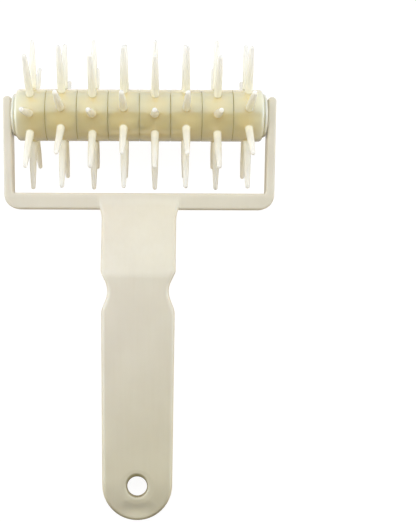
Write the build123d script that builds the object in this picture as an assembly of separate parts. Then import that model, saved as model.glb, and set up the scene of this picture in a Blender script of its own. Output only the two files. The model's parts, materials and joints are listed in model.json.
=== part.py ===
from build123d import *
from math import acos, atan2, cos, degrees, hypot, isclose, radians, sin, tan
import os

# A dough docker: a roller of spiked rings that turns in a one-piece moulded yoke with a raised handle.
# Every piece is modelled with the yoke flat: X along the roller, Y from the handle to the roller,
# Z out of the face, and zero on the roller's axis. The pieces are then laid on a table together.

# Whole tool
overall_length = 205.0  # handle's end to the far spike tips
yoke_width = 120.0  # over the free ends of the arms
tip_radius = 32.7  # roller's axis to a spike's tip

# Arms and crossbar
arm_thickness = 3.75
arm_end_flat = 0.5  # between the rounded corners of an arm's free end
arm_splay = 1.0  # how far each arm leans out, from the crossbar to its free end
arm_reach = 7.8  # roller's axis to the arms' free ends
frame_depth = 8.0  # arms and crossbar, front to back
tip_clearance = 1.8  # spike tips to the crossbar
crossbar_height = 7.1
outer_corner_radius = 6.5
inner_corner_radius = 1.0
frame_edge_radius = 1.0

# Neck and grip
handle_rise = 17.0  # crossbar's face to the grip's face
root_overlap = 1.4  # crossbar's near side to the start of the neck
root_width = 39.2
flare_length = 8.0
flare_radius = 14.0
neck_width = 32.4
foot_inset = 3.9  # crossbar's near side to where the neck starts to rise
foot_radius = 10.0
rise_length = 30.2
shoulder_width = 31.5  # at the end of the rise, where the sides turn in
shoulder_radius = 2.5
grip_bend_radius = 9.0
shoulder_length = 7.6  # from the end of the rise to the waist
waist_width = 24.1
waist_radius = 9.5
waist_length = 8.7  # from the waist to the grip's full width
grip_width = 30.9
grip_radius = 6.0
end_radius = 14.65
handle_edge_depth = 6.6  # grip's face to the rim of its open back
handle_wall = 2.4
handle_edge_radius = 1.8

# Hanging hole
hole_inset = 14.2  # hole's axis to the handle's end
hole_radius = 4.15
hole_lip_radius = 1.3

# Spiked rings
ring_count = 8
ring_gap = 0.12  # between neighbouring rings
body_radius = 11.35
ring_wall = 2.3
ring_edge_radius = 0.2
end_shoulder_radius = 1.7  # outer edge of the first and last ring
web_thickness = 2.2
hub_wall = 1.85  # around the corners of the keyway

# Spikes
spike_count = 8
spike_base_radius = 1.8
spike_middle_radius = 1.42
spike_taper_length = 9.0  # from the tip to where the taper quickens
spike_tip_radius = 0.98
spike_seat_depth = 1.1  # how far a spike runs into the ring's wall
spike_root_radius = 0.35
stagger_angle = 12.8  # between the spikes of neighbouring rings, end for end on the same key
roller_turn = 1.5  # where the key stands at rest, from the face towards the arms' free ends

# Spindle and end caps
spindle_flats = 8.0
key_clearance = 0.1
bore_wall = 0.7  # least wall in front of and behind a trunnion's bore
trunnion_clearance = 0.08
trunnion_recess = 0.3
trunnion_chamfer = 0.4
cap_step = 1.8  # from the rings' outside down to the caps'
cap_thickness = 1.55
cap_rim = 0.2  # straight part of a cap's edge, next to its ring
end_play = 0.35  # least gap between a cap and its arm

# Values that follow from the sizes above
overrun = handle_wall
half_depth = frame_depth / 2
full_turn = 360.0
quarter_turn = full_turn / 4
hexagon_corner_angle = full_turn / 6

# Reaches, measured from the roller's axis towards the handle's end
crossbar_reach = tip_radius + tip_clearance
crossbar_far_reach = crossbar_reach + crossbar_height
root_reach = crossbar_reach + root_overlap
foot_reach = crossbar_reach + foot_inset
shoulder_reach = foot_reach + rise_length
waist_reach = shoulder_reach + shoulder_length
grip_reach = waist_reach + waist_length
handle_reach = overall_length - tip_radius
hole_reach = handle_reach - hole_inset

# Slopes and heights
arm_lean = arm_splay / (arm_reach + crossbar_far_reach)
neck_slope = atan2(handle_rise, rise_length)
rear_rim_height = half_depth + handle_rise - handle_edge_depth

# Radii about the roller's axis
bore_radius = half_depth - bore_wall
trunnion_radius = bore_radius - trunnion_clearance
keyway_flats = spindle_flats + key_clearance * 2
hub_radius = keyway_flats / 2 / cos(radians(hexagon_corner_angle / 2)) + hub_wall
ring_hollow_radius = body_radius - ring_wall
cap_radius = body_radius - cap_step


def arm_outer(height):
    """Distance of an arm's outer face from the middle, at a height above the roller's axis."""
    return yoke_width / 2 - arm_lean * (arm_reach - height)


def arm_inner(height):
    return arm_outer(height) - arm_thickness


# The row of rings, which with its caps fills the width between the arms
cap_face_reach = arm_inner(-cap_radius) - end_play
row_half_length = cap_face_reach - cap_thickness
ring_pitch = row_half_length / ring_count * 2
ring_width = ring_pitch - ring_gap


def grip_line(depth):
    """The handle's face seen from the side, lowered square to itself by a depth."""
    set_back = depth * tan(neck_slope / 2)
    low = half_depth - depth
    high = low + handle_rise
    return FilletPolyline(
        (-crossbar_reach, low),
        (-foot_reach - set_back, low),
        (-shoulder_reach - set_back, high),
        (-handle_reach - overrun, high),
        radius=[foot_radius + depth, grip_bend_radius - depth],
    )


def handle_slab(upper_depth, lower_depth):
    """Everything between two depths under the handle's face, wider than the handle."""
    with BuildSketch(Plane.YZ) as side:
        with BuildLine():
            upper = grip_line(upper_depth)
            lower = grip_line(lower_depth)
            Line(upper @ 0, lower @ 0)
            Line(upper @ 1, lower @ 1)
        make_face()
    return extrude(side.sketch, amount=yoke_width / 2, both=True)


def handle_outline():
    """The handle seen from the front, with straight grip sides that run into the round end."""
    waist_end = Vector(grip_width / 2, -grip_reach)
    end_centre = Vector(0, end_radius - handle_reach)
    across = waist_end - end_centre
    turn = atan2(across.Y, across.X) - acos(end_radius / across.length)
    tangent_point = end_centre + Vector(cos(turn), sin(turn)) * end_radius
    with BuildSketch() as outline:
        with BuildLine():
            side = FilletPolyline(
                (root_width / 2, -root_reach),
                (neck_width / 2, -root_reach - flare_length),
                (shoulder_width / 2, -shoulder_reach),
                (waist_width / 2, -waist_reach),
                (waist_end.X, waist_end.Y),
                (tangent_point.X, tangent_point.Y),
                radius=[flare_radius, shoulder_radius, waist_radius, grip_radius],
            )
            Line((0, -root_reach), side @ 0)
            ThreePointArc(side @ 1, (0, -handle_reach), (-tangent_point.X, tangent_point.Y))
            mirror(side, about=Plane.YZ)
            Line((0, -root_reach), (-root_width / 2, -root_reach))
        make_face()
    return outline.sketch


def make_handle():
    """The raised handle as a thin tray, open at the back, with its face's edge rounded."""
    outline = handle_outline()
    tall = yoke_width / 2
    body = extrude(outline, amount=tall, both=True) & handle_slab(0, handle_edge_depth)
    upper_faces = [f for f in body.faces() if f.normal_at(f.center()).Z > cos(neck_slope * 2)]
    face_edges = [e for f in upper_faces for e in f.edges()]
    rim = [e for e in face_edges if sum(e.is_same(other) for other in face_edges) == 1]
    rim = [e for e in rim if abs(e.tangent_at(0).Y) > abs(e.tangent_at(0).X)]
    body = fillet(rim, handle_edge_radius)
    inside = offset(outline, amount=-handle_wall, kind=Kind.INTERSECTION)
    inner = extrude(inside, amount=tall, both=True)
    inner = inner & handle_slab(handle_wall, handle_edge_depth + handle_wall)
    behind_crossbar = Pos(0, -crossbar_far_reach - handle_reach / 2, 0)
    inner = inner & behind_crossbar * Box(yoke_width, handle_reach, yoke_width)
    hole = Pos(0, -hole_reach, half_depth + handle_rise) * Cylinder(hole_radius, frame_depth)
    body = body - inner - hole
    hole_edges = [e for e in body.edges().filter_by(GeomType.CIRCLE) if isclose(e.radius, hole_radius)]
    return fillet(ShapeList(hole_edges).sort_by(Axis.Z)[-1], hole_lip_radius)


def make_frame():
    free_end = arm_reach
    near = -crossbar_reach
    far = -crossbar_far_reach
    arm_end_radius = (arm_thickness - arm_end_flat) / 2
    right = [
        (arm_inner(near), near),
        (arm_inner(free_end), free_end),
        (arm_outer(free_end), free_end),
        (arm_outer(far), far),
    ]
    left = [(-x, y) for x, y in reversed(right)]
    radii = [inner_corner_radius, arm_end_radius, arm_end_radius, outer_corner_radius]
    with BuildSketch() as shape:
        with BuildLine():
            FilletPolyline(*right, *left, radius=radii + radii[::-1], close=True)
        make_face()
    frame = extrude(shape.sketch, amount=half_depth, both=True)
    faces = frame.faces().sort_by(Axis.Z)
    return fillet(faces[0].edges() + faces[-1].edges(), frame_edge_radius)


def make_yoke_handle():
    bore = Rot(Y=quarter_turn) * Cylinder(bore_radius, yoke_width + overrun)
    return make_frame() + make_handle() - bore


def make_spike():
    """One spike that stands along Z from the roller's axis."""
    root = body_radius - spike_seat_depth
    middle = tip_radius - spike_taper_length
    tip_centre = tip_radius - spike_tip_radius
    with BuildSketch(Plane.XZ) as half:
        with BuildLine():
            Polyline(
                (0, tip_radius), (0, root), (spike_base_radius, root),
                (spike_middle_radius, middle), (spike_tip_radius, tip_centre),
            )
            CenterArc((0, tip_centre), spike_tip_radius, 0, quarter_turn)
        make_face()
    return revolve(half.sketch, Axis.Z)


def hexagon_bar(flats, length):
    section = Plane.YZ * RegularPolygon(flats / 2, 6, major_radius=False)
    return extrude(section, amount=length / 2, both=True)


def end_rim(turned, side):
    """The last round edge of a turned piece along X, on side 1 or -1."""
    return turned.edges().filter_by(GeomType.CIRCLE).sort_by(lambda edge: edge.center().X * side)[-1]


def make_ring(shoulder_side):
    """A ring about the X axis. A shoulder side of 1 or -1 rounds the end of the row there."""
    lie_along = Rot(Y=quarter_turn)
    ring = lie_along * Cylinder(body_radius, ring_width)
    for end in (-1, 1):
        edge_radius = end_shoulder_radius if end == shoulder_side else ring_edge_radius
        ring = fillet(end_rim(ring, end), edge_radius)
    spike = make_spike()
    for number in range(spike_count):
        ring = ring + Rot(X=-full_turn / spike_count * number) * spike
    plain = (GeomType.CIRCLE, GeomType.LINE)
    roots = [e for e in ring.edges() if e.geom_type not in plain and e.length > spike_base_radius * 2]
    ring = fillet(roots, spike_root_radius)
    pocket_length = (ring_width - web_thickness) / 2
    pocket = Cylinder(ring_hollow_radius, pocket_length) - Cylinder(hub_radius, pocket_length)
    for end in (-1, 1):
        ring = ring - Pos(end * (web_thickness + pocket_length) / 2, 0, 0) * lie_along * pocket
    return ring


def make_spiked_rings():
    """Alike but for the shoulders, and put on the key end for end in turn, which staggers the spikes."""
    rings = {}
    keyway = hexagon_bar(keyway_flats, ring_pitch)
    for number in range(ring_count):
        place = Pos((number + 0.5) * ring_pitch - row_half_length, 0, 0)
        shoulder_side = {0: -1, ring_count - 1: 1}.get(number, 0)
        stagger = stagger_angle / 2 * (-1 if number % 2 == 0 else 1)
        ring = Rot(X=-stagger) * make_ring(shoulder_side) - keyway
        rings[f"spiked_ring_{number + 1}"] = place * Rot(X=-roller_turn) * ring
    return rings


def make_end_cap(side):
    place = Pos(side * (row_half_length + cap_thickness / 2), 0, 0)
    cap = place * Rot(Y=quarter_turn) * Cylinder(cap_radius, cap_thickness)
    cap = fillet(end_rim(cap, side), cap_thickness - cap_rim)
    return Rot(X=-roller_turn) * (cap - hexagon_bar(keyway_flats, yoke_width))


def make_spindle():
    """A hexagonal bar as long as the row, on round trunnions that turn in the arms' bores."""
    bar = hexagon_bar(spindle_flats, cap_face_reach * 2)
    trunnions = Rot(Y=quarter_turn) * Cylinder(trunnion_radius, (arm_outer(0) - trunnion_recess) * 2)
    ends = trunnions.edges().filter_by(GeomType.CIRCLE)
    return Rot(X=-roller_turn) * (bar + chamfer(ends, trunnion_chamfer))


def lying_angle():
    """Turn about X that brings the handle's rear rim down to the table that the spike tips stand on."""
    reach = hypot(handle_reach, rear_rim_height)
    return degrees(acos(-tip_radius / reach) - atan2(handle_reach, rear_rim_height))


def make_pieces():
    pieces = {"yoke_handle": make_yoke_handle(), "spindle": make_spindle()}
    pieces["end_cap_left"] = make_end_cap(-1)
    pieces["end_cap_right"] = make_end_cap(1)
    pieces.update(make_spiked_rings())
    laid = {name: Pos(0, 0, tip_radius) * Rot(X=lying_angle()) * piece for name, piece in pieces.items()}
    boxes = [piece.bounding_box() for piece in laid.values()]
    middle = (min(box.min.Y for box in boxes) + max(box.max.Y for box in boxes)) / 2
    centre = Pos(0, -middle, 0)
    return {name: centre * piece for name, piece in laid.items()}


def main():
    os.makedirs("parts", exist_ok=True)
    for name, piece in make_pieces().items():
        piece.label = name
        export_step(piece, f"parts/{name}.step")


main()
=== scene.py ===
import json
from math import asin, pi, radians

import bpy
from mathutils import Matrix, Vector

# A dough docker of pale moulded plastic: an ivory yoke with a raised grip, and a roller of
# natural, slightly see-through rings with spikes. Lengths are in metres.

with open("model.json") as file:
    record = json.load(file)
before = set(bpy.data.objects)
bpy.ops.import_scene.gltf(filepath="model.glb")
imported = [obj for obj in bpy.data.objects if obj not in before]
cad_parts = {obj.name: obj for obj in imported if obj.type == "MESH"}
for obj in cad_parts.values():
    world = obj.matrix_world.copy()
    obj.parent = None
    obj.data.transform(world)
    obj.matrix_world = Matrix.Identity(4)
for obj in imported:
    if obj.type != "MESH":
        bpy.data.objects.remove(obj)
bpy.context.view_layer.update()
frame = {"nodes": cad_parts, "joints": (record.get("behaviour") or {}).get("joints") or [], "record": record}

# The photograph's own frame: X along the roller, Y up the picture, Z towards the camera,
# with zero on the roller's axis. A reach is a distance from that axis down the picture.
hole_centre = Vector(frame["record"]["mounts"][0]["pos_m"])
hole_axis = Vector(frame["record"]["mounts"][0]["axis"])
roller_axis = Vector(frame["joints"][0]["pos_m"])
lean = asin(-hole_axis.y)
to_table = Matrix.Translation(roller_axis) @ Matrix.Rotation(lean, 4, "X")
from_table = to_table.inverted()
hole_reach = -(from_table @ hole_centre).y

# Yoke and handle
hole_radius = 0.00415
crossbar_reach = 0.0345
end_radius = 0.01465
end_centre_reach = 0.15765

# Roller
body_radius = 0.01135
spike_length = 0.0213
ring_pitch = 0.0135
row_half_length = 0.054

# Ivory plastic: the two tones of its clouds, and how see-through and glossy it is
cloud_size = 0.016
cloud_stops = [(0.3, (0.744, 0.688, 0.573)), (0.7, (0.78, 0.729, 0.614))]
ivory_finish = {
    "Roughness": 0.36,
    "Specular IOR Level": 0.8,
    "Subsurface Weight": 0.15,
    "Subsurface Radius": (1.0, 0.8, 0.5),
    "Subsurface Scale": 0.0015,
}

# Its shades: its own flow-line streaks, then painted shade at the hanging hole's rim and top
# crescent, on the grip, round its end and on the crossbar; and the ends between which each sets in
streak_size = 0.0016
streak_stretch = 0.06
streak_shade = (0.985, 0.982, 0.972)
streak_ends = (0.3, 0.8)
# Painted shade: a thin dark ring round the hanging hole's edge
hole_rim_painted_shade = (0.5, 0.45, 0.33)
rim_ends = (hole_radius + 0.0006, hole_radius + 0.0001)
# Painted shade: a darker crescent on the hanging hole's upper lip, which faces away from the light
crescent_painted_shade = (0.45, 0.42, 0.28)
crescent_centre = (-0.0002, 0.0013 - hole_reach, 0)
crescent_ends = (hole_radius + 0.0007, hole_radius - 0.0002)
# Painted shade: the grip darker and yellower towards its end, where the light falls off
grip_end_painted_shade = (0.96, 0.955, 0.86)
grip_ends = (0.08, hole_reach + 0.01)
# Painted shade: the grip darker towards its right side, away from the light on the left
right_side_painted_shade = (0.978, 0.98, 0.955)
right_side_ends = (-0.018, 0.012)
# Painted shade: a dark band round the rounded edge of the grip's end
end_edge_painted_shade = (0.5, 0.47, 0.35)
end_edge_ends = (end_radius - 0.0016, end_radius - 0.0006)
end_round_ends = (end_centre_reach + 0.004, end_centre_reach + 0.012)
# Painted shade: the crossbar darker below a band along its top edge, beside the neck
crossbar_painted_shade = (0.955, 0.955, 0.945)
crossbar_ends = (crossbar_reach + 0.0014, crossbar_reach + 0.0024)
beside_neck_ends = (0.0181, 0.0187)

# Its relief, where a depth below zero dips
ivory_grain_size = 0.0005
ivory_grain_depth = 0.00001
ivory_wave_size = 0.012
ivory_wave_depth = 0.00008
droop_depth = -0.0042
droop_ends = (hole_reach - 0.003, hole_reach + 0.018)
sink_depth = -0.00105
sink_centre = (0, -hole_reach - 0.0095, 0)
sink_stretch = 0.55
sink_ends = (0.0052, 0)
dish_depth = 0.00045
dish_ends = (hole_radius + 0.0002, hole_radius + 0.0034)
soft_edge_depth = -0.0002
soft_edge_ends = (0.0122, 0.0152)
soft_edge_start = (0.072, 0.08)

# Natural plastic: deep to pale, with what makes it pale
natural_stops = [
    (0.0, (0.775, 0.62, 0.295)),
    (0.015, (0.795, 0.67, 0.365)),
    (0.12, (0.83, 0.755, 0.53)),
    (0.35, (0.965, 0.87, 0.67)),
    (1.0, (0.95, 0.885, 0.765)),
]
spike_root_ends = (body_radius + 0.0001, body_radius + 0.0012)
spike_ends = (body_radius, body_radius + spike_length)
row_ends = (0.046, row_half_length + 0.001)
root_paleness = 0.5
tip_paleness = 0.5
row_end_paleness = 0.11
blotch_paleness = 0.02
blotch_size = 0.006
natural_finish = {
    "Roughness": 0.2,
    "Specular IOR Level": 0.5,
    "Coat IOR": 1.9,
    "Coat Roughness": 0.12,
    "Subsurface Weight": 1.0,
    "Subsurface Radius": (1.0, 0.97, 0.88),
    "Subsurface Scale": 0.005,
}

# Its seams, gloss coat, see-through spikes and relief
seam_shade = (1.18, 1.06, 0.68)
seam_ends = (0.0003, 0.00012)
coat_ends = (0.5, 0.0)
see_through_ends = (0.02, 0.15)
see_through_share = 0.08
parting_ends = (ring_pitch / 2 - 0.00015, ring_pitch / 2 - 0.00005)
parting_depth = 0.00004
natural_grain_size = 0.0004
natural_grain_depth = 0.000005
natural_wave_size = 0.007
natural_wave_depth = 0.00005

# White table
table_size = 6
table_shadow = (0.18, 0.18, 0.18, 1)
table_glow = 0.92
near_side_dimming = -0.62
near_side_ends = (roller_axis.y + 0.008, roller_axis.y - 0.012)
bounce_stops = [(0, (0.86, 0.87, 0.88)), (1, (0.84, 0.69, 0.42))]

# Light from the room
left_light = 3.5
right_light = 3.05
all_round_light = 0.11
side_rise = 0.04
side_focus = 4.0
mirrored_light = 1.4
mirrored_ends = (-0.06, 0.22)
room_colours = [(0, (1, 1, 1)), (1, (0.56, 0.79, 1))]

# Light panel over the tool
panel_angle = radians(18)
panel_distance = 0.34
panel_across = -0.01
panel_width = 0.42
panel_height = 0.18
panel_radiance = 3.6

# Camera
picture_width = 416
picture_height = 522
focal_pixels = 832.9
centre_pixel = (158.17, 246.29)
sensor_width_mm = 36.0
camera_place = (0.00837, -0.05775, 0.36788)
camera_roll = radians(0.231)
nearest_seen = 0.01
farthest_seen = 20


def add_node(tree, kind, **sockets):
    """A node with its sockets set to values, or linked where an output is given."""
    node = tree.nodes.new(kind)
    for name, value in sockets.items():
        connect(tree, value, node.inputs[name.replace("_", " ")])
    return node


def connect(tree, value, socket):
    if isinstance(value, bpy.types.NodeSocket):
        tree.links.new(value, socket)
    else:
        socket.default_value = value


def combine(tree, operation, first, second=0.0, third=0.0):
    node = tree.nodes.new("ShaderNodeMath")
    node.operation = operation
    for value, socket in zip((first, second, third), node.inputs):
        connect(tree, value, socket)
    return node.outputs[0]


def ramp(tree, factor, stops):
    """A colour ramp with (place, colour) stops."""
    node = add_node(tree, "ShaderNodeValToRGB", Fac=factor)
    elements = node.color_ramp.elements
    while len(elements) < len(stops):
        elements.new(0.5)
    for element, (place, colour) in zip(elements, stops):
        element.position = place
        element.color = (*colour, 1)
    return node.outputs["Color"]


def share_between(tree, value, low, high):
    """0 at the low value, 1 at the high one, and clamped outside them."""
    node = add_node(tree, "ShaderNodeMapRange", Value=value, From_Min=low, From_Max=high)
    node.interpolation_type = "SMOOTHSTEP"
    return node.outputs["Result"]


def joint_share(tree, *limits):
    """The product of the shares of (value, ends) pairs."""
    shares = [share_between(tree, value, *ends) for value, ends in limits]
    product = shares[0]
    for share in shares[1:]:
        product = combine(tree, "MULTIPLY", product, share)
    return product


def tint(tree, amount, base, colour):
    """The base multiplied by a colour, in the amount given."""
    node = tree.nodes.new("ShaderNodeMix")
    node.data_type = "RGBA"
    node.blend_type = "MULTIPLY"
    connect(tree, amount, node.inputs["Factor"])
    colours = [socket for socket in node.inputs if socket.type == "RGBA"]
    connect(tree, base, colours[0])
    colours[1].default_value = (*colour, 1)
    return [socket for socket in node.outputs if socket.type == "RGBA"][0]


def noise(tree, point, size, detail=2.0):
    """Noise whose blotches are about one size across."""
    node = add_node(tree, "ShaderNodeTexNoise", Vector=point, Scale=1 / size, Detail=detail)
    return node.outputs["Fac"]


def stretched(tree, point, scale, place=(0, 0, 0), turn=0.0):
    """Coordinates scaled, turned about X and then moved."""
    node = add_node(tree, "ShaderNodeMapping", Vector=point, Scale=scale, Location=place)
    node.inputs["Rotation"].default_value = (turn, 0, 0)
    return node.outputs["Vector"]


def axes(tree, point):
    """The X, Y and Z of a point, by name."""
    return add_node(tree, "ShaderNodeSeparateXYZ", Vector=point).outputs


def distance(tree, point, centre, keep=(1, 1, 0)):
    """How far a point lies from a centre, with each axis scaled by its keep."""
    moved = stretched(tree, point, keep, [-c * k for c, k in zip(centre, keep)])
    node = tree.nodes.new("ShaderNodeVectorMath")
    node.operation = "LENGTH"
    connect(tree, moved, node.inputs[0])
    return node.outputs["Value"]


def new_plastic(name, finish):
    """A material with its finish set, and the coordinates that its patterns lie in."""
    material = bpy.data.materials.new(name)
    material.use_nodes = True
    tree = material.node_tree
    shader = tree.nodes["Principled BSDF"]
    for socket, value in finish.items():
        shader.inputs[socket].default_value = value
    return material, tree, shader, tree.nodes.new("ShaderNodeTexCoord").outputs["Object"]


def relief(tree, height, depth, below=None):
    """A bump of a real depth for a height from 0 to 1, laid over another bump."""
    node = add_node(tree, "ShaderNodeBump", Height=height, Distance=depth, Strength=1.0)
    if below:
        connect(tree, below, node.inputs["Normal"])
    return node.outputs["Normal"]


def ivory_plastic():
    """Satin ivory with faint clouds and flow lines. Painted shade: a dark ring and a darker
    top crescent at the hanging hole, the grip darker towards its end and its right side, a dark
    band round the grip's end, and the crossbar darker below its top edge.
    """
    material, tree, shader, point = new_plastic("ivory_plastic", ivory_finish)
    flat = stretched(tree, point, (1, 1, 1), from_table.translation, -lean)
    place = axes(tree, flat)
    reach = combine(tree, "MULTIPLY", place["Y"], -1.0)
    aside = combine(tree, "ABSOLUTE", place["X"])
    from_hole = distance(tree, flat, (0, -hole_reach, 0))
    from_crescent = distance(tree, flat, crescent_centre)
    from_end_centre = distance(tree, flat, (0, -end_centre_reach, 0))
    from_sink = distance(tree, flat, sink_centre, (sink_stretch, 1, 0))
    streaks = noise(tree, stretched(tree, flat, (1, streak_stretch, 1)), streak_size, 3.0)

    colour = ramp(tree, noise(tree, flat, cloud_size, 4.0), cloud_stops)
    # Flow-line streaks, then painted shade: hole rim, hole's top crescent, grip's end, grip's right side,
    # end edge, crossbar
    for streak_or_painted_shade, *limits in (
        (streak_shade, (streaks, streak_ends)),
        (hole_rim_painted_shade, (from_hole, rim_ends)),
        (crescent_painted_shade, (from_crescent, crescent_ends)),
        (grip_end_painted_shade, (reach, grip_ends)),
        (right_side_painted_shade, (place["X"], right_side_ends)),
        (end_edge_painted_shade, (from_end_centre, end_edge_ends), (reach, end_round_ends)),
        (crossbar_painted_shade, (reach, crossbar_ends), (aside, beside_neck_ends)),
    ):
        colour = tint(tree, joint_share(tree, *limits), colour, streak_or_painted_shade)
    connect(tree, colour, shader.inputs["Base Color"])

    normal = relief(tree, noise(tree, point, ivory_grain_size), ivory_grain_depth)
    normal = relief(tree, noise(tree, point, ivory_wave_size), ivory_wave_depth, normal)
    for depth, *limits in (
        (droop_depth, (reach, droop_ends)),
        (sink_depth, (from_sink, sink_ends)),
        (dish_depth, (from_hole, dish_ends)),
        (soft_edge_depth, (aside, soft_edge_ends), (reach, soft_edge_start)),
    ):
        normal = relief(tree, joint_share(tree, *limits), depth, normal)
    connect(tree, normal, shader.inputs["Normal"])
    return material


def natural_plastic():
    """Deeper in colour on the thick hollow body, and paler out along the thin spikes."""
    material, tree, shader, point = new_plastic("natural_plastic", natural_finish)
    along = axes(tree, point)["X"]
    across = distance(tree, point, roller_axis, (0, 1, 1))
    on_spike = share_between(tree, across, *spike_root_ends)
    out_share = share_between(tree, across, *spike_ends)
    end_share = share_between(tree, combine(tree, "ABSOLUTE", along), *row_ends)
    from_row_end = combine(tree, "ADD", along, row_half_length)
    from_seam = combine(tree, "PINGPONG", from_row_end, ring_pitch / 2)

    paleness = combine(tree, "MULTIPLY", out_share, tip_paleness)
    for share, most in (
        (on_spike, root_paleness),
        (noise(tree, point, blotch_size, 3.0), blotch_paleness),
        (end_share, row_end_paleness),
    ):
        paleness = combine(tree, "MULTIPLY_ADD", share, most, paleness)
    seam = share_between(tree, from_seam, *seam_ends)
    colour = tint(tree, seam, ramp(tree, paleness, natural_stops), seam_shade)
    connect(tree, colour, shader.inputs["Base Color"])
    connect(tree, share_between(tree, on_spike, *coat_ends), shader.inputs["Coat Weight"])
    see_through = share_between(tree, out_share, *see_through_ends)
    see_through = combine(tree, "MULTIPLY", see_through, see_through_share)
    connect(tree, see_through, shader.inputs["Transmission Weight"])

    normal = None
    for height, depth in (
        (noise(tree, point, natural_grain_size), natural_grain_depth),
        (noise(tree, point, natural_wave_size), natural_wave_depth),
        (share_between(tree, from_seam, *parting_ends), parting_depth),
    ):
        normal = relief(tree, height, depth, normal)
    connect(tree, normal, shader.inputs["Normal"])
    return material


def give(material, *nodes):
    for node in nodes:
        slots = frame["nodes"][node].data.materials
        slots.clear()
        slots.append(material)


def add_floor():
    """A white table: plain white to the eye, with the shadow left in."""
    bpy.ops.mesh.primitive_plane_add(size=table_size)
    floor = bpy.context.object
    floor.name = "floor"
    material = bpy.data.materials.new("white_table")
    material.use_nodes = True
    tree = material.node_tree
    tree.nodes.clear()
    path = tree.nodes.new("ShaderNodeLightPath").outputs
    place = axes(tree, tree.nodes.new("ShaderNodeTexCoord").outputs["Object"])
    near_side = share_between(tree, place["Y"], *near_side_ends)

    bounced = ramp(tree, near_side, bounce_stops)
    plain = add_node(tree, "ShaderNodeBsdfDiffuse", Color=bounced).outputs[0]
    faint = add_node(tree, "ShaderNodeBsdfDiffuse", Color=table_shadow).outputs[0]
    dimmed = combine(tree, "MULTIPLY", near_side, path["Is Glossy Ray"])
    strength = combine(tree, "MULTIPLY_ADD", dimmed, near_side_dimming, table_glow)
    glow = add_node(tree, "ShaderNodeEmission", Color=(1, 1, 1, 1), Strength=strength).outputs[0]
    white = tree.nodes.new("ShaderNodeAddShader")
    connect(tree, faint, white.inputs[0])
    connect(tree, glow, white.inputs[1])

    seen = combine(tree, "MAXIMUM", path["Is Camera Ray"], path["Is Glossy Ray"])
    seen = combine(tree, "MAXIMUM", seen, path["Is Transmission Ray"])
    choice = tree.nodes.new("ShaderNodeMixShader")
    for value, socket in zip((seen, plain, white.outputs[0]), choice.inputs):
        connect(tree, value, socket)
    output = tree.nodes.new("ShaderNodeOutputMaterial")
    connect(tree, choice.outputs[0], output.inputs["Surface"])
    floor.data.materials.append(material)


def along_direction(tree, direction, picture_axis):
    """How far a direction points along an axis of the photograph's frame."""
    node = tree.nodes.new("ShaderNodeVectorMath")
    node.operation = "DOT_PRODUCT"
    connect(tree, direction, node.inputs[0])
    connect(tree, to_table.to_3x3() @ Vector(picture_axis), node.inputs[1])
    return node.outputs["Value"]


def add_room_light():
    """A room that is brightest to the left and right and dim past the handle's end. It is
    plain white to the eye, and gloss mirrors a bright field over the roller's end."""
    world = bpy.data.worlds.new("room")
    bpy.context.scene.world = world
    world.use_nodes = True
    tree = world.node_tree
    direction = tree.nodes.new("ShaderNodeTexCoord").outputs["Generated"]
    path = tree.nodes.new("ShaderNodeLightPath").outputs

    room = all_round_light
    for side, light in ((-1, left_light), (1, right_light)):
        towards = along_direction(tree, direction, (side, side_rise, 0))
        towards = combine(tree, "MAXIMUM", towards, 0.0)
        share = combine(tree, "POWER", towards, side_focus)
        room = combine(tree, "MULTIPLY_ADD", share, light, room)
    up = along_direction(tree, direction, (0, 1, 0))
    mirrored = share_between(tree, up, *mirrored_ends)
    mirrored = combine(tree, "MULTIPLY", mirrored, mirrored_light)
    mirrored = combine(tree, "MULTIPLY", mirrored, path["Is Glossy Ray"])
    room = combine(tree, "MAXIMUM", room, mirrored)
    seen = combine(tree, "MAXIMUM", path["Is Camera Ray"], path["Is Transmission Ray"])

    background = tree.nodes["Background"]
    colour = ramp(tree, path["Is Glossy Ray"], room_colours)
    connect(tree, colour, background.inputs["Color"])
    connect(tree, combine(tree, "MAXIMUM", room, seen), background.inputs["Strength"])


def add_top_light():
    """A light panel that faces the roller from above the camera's direction."""
    light = bpy.data.lights.new("top_light", "AREA")
    light.shape = "RECTANGLE"
    light.size = panel_width
    light.size_y = panel_height
    light.energy = panel_radiance * panel_width * panel_height * pi
    panel = bpy.data.objects.new("top_light", light)
    panel.visible_glossy = False
    bpy.context.scene.collection.objects.link(panel)
    across = Matrix.Translation((panel_across, 0, 0))
    raised = Matrix.Rotation(-panel_angle, 4, "X")
    away = Matrix.Translation((0, 0, panel_distance))
    panel.matrix_world = to_table @ across @ raised @ away


def add_camera():
    camera = bpy.data.cameras.new("camera")
    camera.sensor_width = sensor_width_mm
    camera.lens = focal_pixels / picture_height * sensor_width_mm
    camera.shift_x = (picture_width / 2 - centre_pixel[0]) / picture_height
    camera.shift_y = (centre_pixel[1] - picture_height / 2) / picture_height
    camera.clip_start = nearest_seen
    camera.clip_end = farthest_seen
    holder = bpy.data.objects.new("camera", camera)
    bpy.context.scene.collection.objects.link(holder)
    place = Matrix.Translation(camera_place)
    holder.matrix_world = to_table @ place @ Matrix.Rotation(camera_roll, 4, "Z")
    bpy.context.scene.camera = holder


rings = [name for name in frame["nodes"] if name.startswith("spiked_ring")]
give(ivory_plastic(), "yoke_handle")
give(natural_plastic(), "spindle", "end_cap_left", "end_cap_right", *rings)

add_floor()
add_room_light()
add_top_light()
add_camera()
bpy.context.scene.view_settings.view_transform = "Standard"
